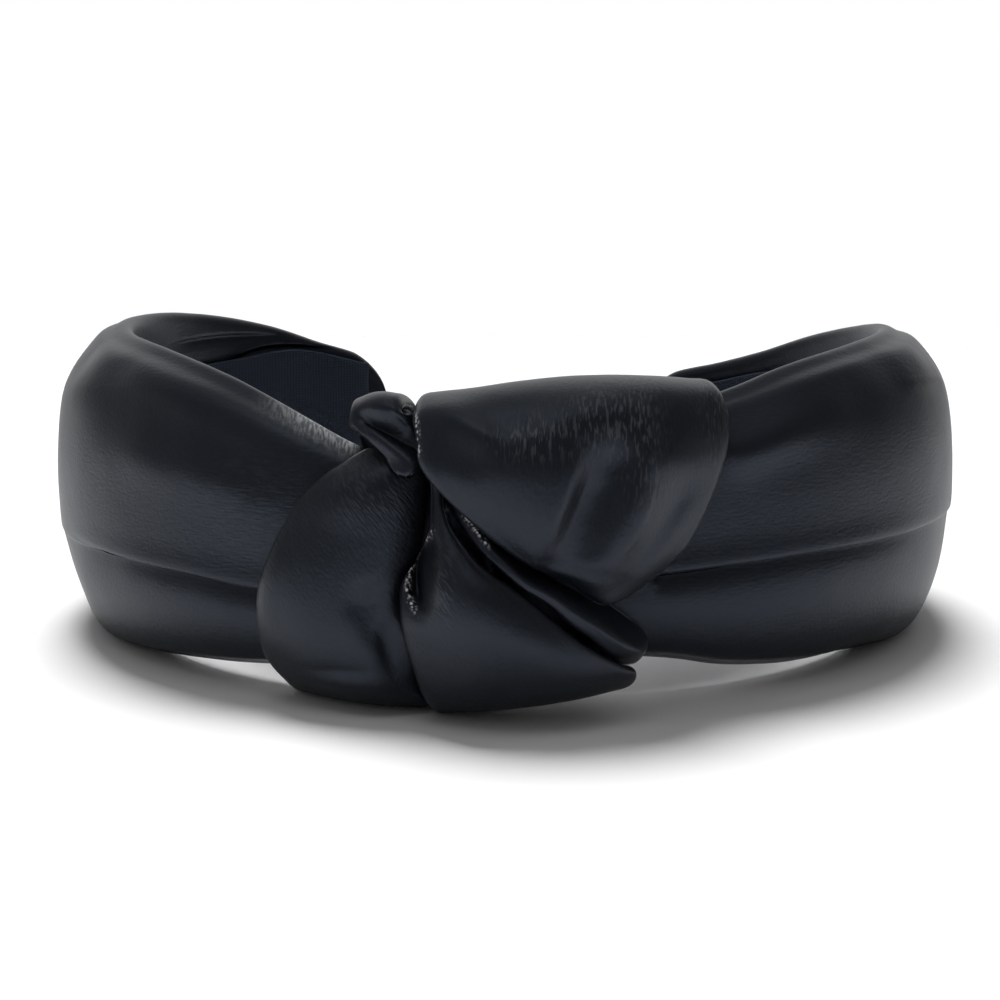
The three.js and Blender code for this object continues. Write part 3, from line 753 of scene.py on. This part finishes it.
# %% Fold the lower turn
LOWER_TURN_FOLDS = [
    # the hollow, its rim with painted glints and its bank
    Fold([(-11.2, 27.4), (-11.9, 25.0), (-12.5, 22.2), (-12.3, 19.4), (-11.6, 17.2)],
         (-2.0, -2.0), (0.8, 0.8), (0.35, 0.2)),
    Fold([(-9.9, 29.2), (-11.8, 25.6), (-13.4, 22.2), (-13.6, 19.1), (-12.0, 16.4)],
         (0.3, 0.3), (0.6, 0.6), (0.15, 0.15), rub=1.0, rub_width=0.35),
    Fold([(-9.4, 27.0), (-9.2, 22.9), (-9.6, 18.6)], (0.4, 0.4), (1.6, 1.0), (0.3, 0.3)),
    # the row of painted glint dots beside the pleat
    Fold([(-8.6, 32.0), (-7.6, 30.2), (-6.4, 28.4), (-5.1, 26.6)], (0.2, 0.2), (0.5, 0.5), rub=1.0),
]
LOWER_TURN_PULLS = [
    Pull((-5.0, 28.5), (3.0, 3.2), (0.8, 0.0, 0.0)),
]
LOWER_TURN_GRAIN = [
    Grain((-8.5, 22.0), (1.6, 5.0), 0.9),
]
turn_of_knot("knot_lower_turn", "lower_turn", slanted_leather, LOWER_TURN_FOLDS, LOWER_TURN_PULLS,
             LOWER_TURN_GRAIN)

# %% [markdown]
# ## The padded sleeves
# Each sleeve is a tube of leather pulled over a padded spring band. Its pattern is unrolled round the head:
# across is the way round from the knot in degrees, which is about a millimetre each, and up is Z. Folds on
# the outer face go outwards from the head, and folds on the inner face go towards it. The rounded ends of the
# two sleeves face each other inside the knot, and a small pull keeps them apart.

# %% Define a sleeve
SLEEVE_END = ((0.0, 20.0), (2.0, 60.0))  # middle and reach of a sleeve's end inside the knot


def arm_pattern(place):
    """Degrees round the head from the knot, the same to both sides, and the height."""
    angle = np.degrees(np.arctan2(np.abs(place[:, 0]), HEAD_MIDDLE / MM - place[:, 1]))
    return np.column_stack([angle, place[:, 2]])


def arm_outward(place):
    """The level way away from the middle of the head, as one direction for each place."""
    outward = np.column_stack([place[:, 0], place[:, 1] - HEAD_MIDDLE / MM, 0 * place[:, 0]])
    return outward / np.linalg.norm(outward, axis=1)[:, None]


def arm_inward(place):
    return -arm_outward(place)


def padded_sleeve(node, folds, inner_folds, pulls, grains):
    """Rounds one sleeve, works the folds of its outer and inner face and gives it its leather."""
    sleeve = soft_copy(node, node + "_padded")
    sleeve.data.materials.append(sleeve_leather)
    work_folds(sleeve, folds, pulls, grains, arm_pattern, arm_outward)
    work_folds(sleeve, inner_folds, [], [], arm_pattern, arm_inward)
    pieces.append(sleeve)


print("the head's middle lies behind the middle of the box by, mm:", round(HEAD_MIDDLE / MM))

# %% [markdown]
# ## The left sleeve
# A long tuck runs low along the outer face, and a soft ridge follows the top edge. Near the knot the leather
# is drawn into a slanting ridge, and its top edge has a painted highlight of pale short strokes. Two wrinkles
# lie high on the inside near the tip.

# %% Fold the left sleeve
LEFT_SLEEVE_FOLDS = [
    Fold([(20.0, 16.0), (34.0, 16.8), (42.0, 17.7), (55.0, 18.0), (72.0, 18.4)],
         (0.7, -0.9), (2.6, 2.4), (0.0, 0.5), 0.3),
    Fold([(80.0, 41.0), (63.0, 43.0), (54.0, 44.6), (47.0, 44.6), (38.0, 42.4)], (0.5, 0.4), (4.0, 2.0)),
    Fold([(46.0, 38.5), (32.0, 31.0)], (0.5, 0.5), (3.0, 2.6), (0.4, 0.3)),
    # the top edge near the knot, with a painted highlight of pale strokes
    Fold([(20.0, 37.0), (24.0, 39.0), (28.0, 40.8), (33.0, 43.0), (38.0, 44.8)],
         (0.0, 0.0), (1.0, 1.0), (0.1, 0.6), rub=0.4, rub_width=0.9),
]
LEFT_INNER_FOLDS = [
    Fold([(104.0, 42.6), (121.0, 42.4), (138.0, 41.0)], (0.3, -0.9), (2.0, 1.2), (0.3, 0.4)),
    Fold([(122.0, 37.4), (130.0, 39.0), (137.0, 39.0), (148.0, 37.6)], (0.3, -0.9), (2.0, 1.2), (0.3, 0.3)),
]
LEFT_SLEEVE_PULLS = [
    Pull(*SLEEVE_END, (-0.6, 0.0, 0.0)),
]
LEFT_SLEEVE_GRAIN = [
    Grain((32.0, 28.0), (9.0, 8.0), 0.35),
]
padded_sleeve("left_sleeve", LEFT_SLEEVE_FOLDS, LEFT_INNER_FOLDS, LEFT_SLEEVE_PULLS, LEFT_SLEEVE_GRAIN)

# %% [markdown]
# ## The right sleeve
# The right sleeve has the same tuck and the same ridge along the top, and one soft ridge that comes out of
# the knot. The second pull keeps its end off the back of the upper turn.

# %% Fold the right sleeve
RIGHT_SLEEVE_FOLDS = [
    Fold([(20.0, 19.8), (30.0, 20.6), (42.0, 21.2), (58.0, 21.0), (74.0, 20.2)],
         (0.6, -0.8), (2.5, 2.2), (0.0, 0.5), 0.3),
    Fold([(27.0, 36.0), (34.0, 38.8), (43.0, 42.0)], (0.5, 0.5), (2.6, 3.0), (0.2, 0.4)),
    Fold([(80.0, 41.0), (70.0, 43.4), (58.0, 44.6)], (0.5, 0.4), (2.0, 4.0)),
]
RIGHT_SLEEVE_PULLS = [
    Pull(*SLEEVE_END, (0.6, 0.0, 0.0)),
    Pull((2.8, 37.4), (2.5, 2.5), (0.0, -0.3, 0.0)),
]
padded_sleeve("right_sleeve", RIGHT_SLEEVE_FOLDS, [], RIGHT_SLEEVE_PULLS, [])

# %% [markdown]
# ## The lining
# The lining is a strip of thin cloth glued round the inside from tip to tip. It is held flat everywhere, so a
# cloth simulation would find nothing to do, and a rounded copy of its solid is enough.

# %% Line the band
lining = soft_copy("lining", "lining_strip")
lining.data.materials.append(lining_cloth)
pieces.append(lining)
print("lining vertices:", len(lining.data.vertices))

# %% [markdown]
# ## One body
# Nothing on a headband moves by a hinge, so every piece rides on the one body.

# %% Ride on the one body
for piece in pieces:
    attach(piece, "root")
bpy.context.view_layer.update()
